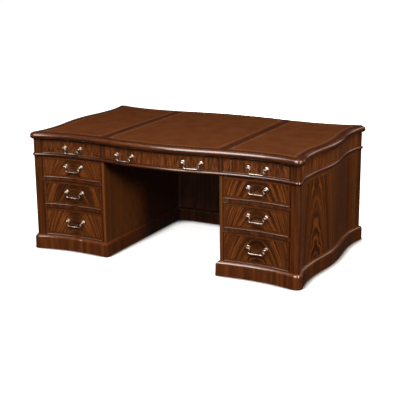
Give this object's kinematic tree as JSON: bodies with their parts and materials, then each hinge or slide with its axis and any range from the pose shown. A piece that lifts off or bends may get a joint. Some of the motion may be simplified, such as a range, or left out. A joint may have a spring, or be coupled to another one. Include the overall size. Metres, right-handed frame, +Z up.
{
  "type": "partners desk",
  "caption": "Serpentine pedestal desk with a leather-lined top, drawers on swan-neck bail pulls in the frieze and pedestals, cupboards behind and a moulded plinth",
  "frame": {"origin": "on the floor under the centre of the desk", "axes": "+X to the right along the front, +Y towards the back, +Z up"},
  "size_m": [1.9366, 1.1794, 0.787],
  "materials": {
    "mahogany": "polished mahogany",
    "crotch_veneer": "polished crotch mahogany veneer",
    "secondary_wood": "waxed secondary wood",
    "leather": "tan leather, gilt tooled",
    "brass": "pale antique brass"
  },
  "bodies": {
    "desk": {"corner_posts": "mahogany", "door_hinges": "brass", "drawer_runners": "secondary_wood", "frieze_dust_board": "secondary_wood", "frieze_panels": "mahogany", "frieze_partitions": "mahogany", "leather_panels": "leather", "left_pedestal_sides": "crotch_veneer", "left_plinth": "mahogany", "modesty_panel": "mahogany", "modesty_plinth": "mahogany", "pedestal_floors": "secondary_wood", "pedestal_partitions": "secondary_wood", "pedestal_rails": "mahogany", "right_pedestal_sides": "crotch_veneer", "right_plinth": "mahogany", "top_edge_moulding": "mahogany", "top_panel": "mahogany", "waist_moulding": "mahogany"},
    "frieze_left_drawer": {"frieze_left_front": "mahogany", "frieze_left_box": "secondary_wood", "frieze_left_pulls": "brass"},
    "frieze_left_bail_swing": {"frieze_left_bail": "brass"},
    "frieze_centre_drawer": {"frieze_centre_front": "mahogany", "frieze_centre_box": "secondary_wood", "frieze_centre_pulls": "brass"},
    "frieze_centre_bail_left_swing": {"frieze_centre_bail_left": "brass"},
    "frieze_centre_bail_right_swing": {"frieze_centre_bail_right": "brass"},
    "frieze_right_drawer": {"frieze_right_front": "mahogany", "frieze_right_box": "secondary_wood", "frieze_right_pulls": "brass"},
    "frieze_right_bail_swing": {"frieze_right_bail": "brass"},
    "left_top_drawer": {"left_top_front": "crotch_veneer", "left_top_box": "secondary_wood", "left_top_pulls": "brass"},
    "left_top_bail_swing": {"left_top_bail": "brass"},
    "right_top_drawer": {"right_top_front": "crotch_veneer", "right_top_box": "secondary_wood", "right_top_pulls": "brass"},
    "right_top_bail_swing": {"right_top_bail": "brass"},
    "left_middle_drawer": {"left_middle_front": "crotch_veneer", "left_middle_box": "secondary_wood", "left_middle_pulls": "brass"},
    "left_middle_bail_swing": {"left_middle_bail": "brass"},
    "right_middle_drawer": {"right_middle_front": "crotch_veneer", "right_middle_box": "secondary_wood", "right_middle_pulls": "brass"},
    "right_middle_bail_swing": {"right_middle_bail": "brass"},
    "left_bottom_drawer": {"left_bottom_front": "crotch_veneer", "left_bottom_box": "secondary_wood", "left_bottom_pulls": "brass"},
    "left_bottom_bail_swing": {"left_bottom_bail": "brass"},
    "right_bottom_drawer": {"right_bottom_front": "crotch_veneer", "right_bottom_box": "secondary_wood", "right_bottom_pulls": "brass"},
    "right_bottom_bail_swing": {"right_bottom_bail": "brass"},
    "left_door_swing": {"left_door": "crotch_veneer", "left_door_brass": "brass"},
    "right_door_swing": {"right_door": "crotch_veneer", "right_door_brass": "brass"}
  },
  "joints": [
    {"name": "frieze_left_slide", "type": "slide", "parent": "desk", "child": "frieze_left_drawer", "axis": [0, -1, 0], "range_m": [0, 0.36]},
    {"name": "frieze_left_bail_hinge", "type": "hinge", "parent": "frieze_left_drawer", "child": "frieze_left_bail_swing", "pos_m": [-0.65464, -0.53256, 0.6945], "axis": [-0.9998, -0.0212, 0], "range_deg": [-15, 95]},
    {"name": "frieze_centre_slide", "type": "slide", "parent": "desk", "child": "frieze_centre_drawer", "axis": [0, -1, 0], "range_m": [0, 0.36]},
    {"name": "frieze_centre_bail_left_hinge", "type": "hinge", "parent": "frieze_centre_drawer", "child": "frieze_centre_bail_left_swing", "pos_m": [-0.24005, -0.56817, 0.6945], "axis": [-0.9925, 0.1222, 0], "range_deg": [-15, 95]},
    {"name": "frieze_centre_bail_right_hinge", "type": "hinge", "parent": "frieze_centre_drawer", "child": "frieze_centre_bail_right_swing", "pos_m": [0.24005, -0.56817, 0.6945], "axis": [-0.9925, -0.1222, 0], "range_deg": [-15, 95]},
    {"name": "frieze_right_slide", "type": "slide", "parent": "desk", "child": "frieze_right_drawer", "axis": [0, -1, 0], "range_m": [0, 0.36]},
    {"name": "frieze_right_bail_hinge", "type": "hinge", "parent": "frieze_right_drawer", "child": "frieze_right_bail_swing", "pos_m": [0.65464, -0.53256, 0.6945], "axis": [-0.9998, 0.0212, 0], "range_deg": [-15, 95]},
    {"name": "left_top_slide", "type": "slide", "parent": "desk", "child": "left_top_drawer", "axis": [0, -1, 0], "range_m": [0, 0.36]},
    {"name": "left_top_bail_hinge", "type": "hinge", "parent": "left_top_drawer", "child": "left_top_bail_swing", "pos_m": [-0.65464, -0.53256, 0.57193], "axis": [-0.9998, -0.0212, 0], "range_deg": [-15, 95]},
    {"name": "right_top_slide", "type": "slide", "parent": "desk", "child": "right_top_drawer", "axis": [0, -1, 0], "range_m": [0, 0.36]},
    {"name": "right_top_bail_hinge", "type": "hinge", "parent": "right_top_drawer", "child": "right_top_bail_swing", "pos_m": [0.65464, -0.53256, 0.57193], "axis": [-0.9998, 0.0212, 0], "range_deg": [-15, 95]},
    {"name": "left_middle_slide", "type": "slide", "parent": "desk", "child": "left_middle_drawer", "axis": [0, -1, 0], "range_m": [0, 0.36]},
    {"name": "left_middle_bail_hinge", "type": "hinge", "parent": "left_middle_drawer", "child": "left_middle_bail_swing", "pos_m": [-0.65464, -0.53256, 0.39885], "axis": [-0.9998, -0.0212, 0], "range_deg": [-15, 95]},
    {"name": "right_middle_slide", "type": "slide", "parent": "desk", "child": "right_middle_drawer", "axis": [0, -1, 0], "range_m": [0, 0.36]},
    {"name": "right_middle_bail_hinge", "type": "hinge", "parent": "right_middle_drawer", "child": "right_middle_bail_swing", "pos_m": [0.65464, -0.53256, 0.39885], "axis": [-0.9998, 0.0212, 0], "range_deg": [-15, 95]},
    {"name": "left_bottom_slide", "type": "slide", "parent": "desk", "child": "left_bottom_drawer", "axis": [0, -1, 0], "range_m": [0, 0.36]},
    {"name": "left_bottom_bail_hinge", "type": "hinge", "parent": "left_bottom_drawer", "child": "left_bottom_bail_swing", "pos_m": [-0.65464, -0.53256, 0.20142], "axis": [-0.9998, -0.0212, 0], "range_deg": [-15, 95]},
    {"name": "right_bottom_slide", "type": "slide", "parent": "desk", "child": "right_bottom_drawer", "axis": [0, -1, 0], "range_m": [0, 0.36]},
    {"name": "right_bottom_bail_hinge", "type": "hinge", "parent": "right_bottom_drawer", "child": "right_bottom_bail_swing", "pos_m": [0.65464, -0.53256, 0.20142], "axis": [-0.9998, 0.0212, 0], "range_deg": [-15, 95]},
    {"name": "left_door_hinge", "type": "hinge", "parent": "desk", "child": "left_door_swing", "pos_m": [-0.878, 0.5533, 0.3625], "axis": [0, 0, 1], "range_deg": [0, 105]},
    {"name": "right_door_hinge", "type": "hinge", "parent": "desk", "child": "right_door_swing", "pos_m": [0.878, 0.5533, 0.3625], "axis": [0, 0, -1], "range_deg": [0, 105]}
  ]
}
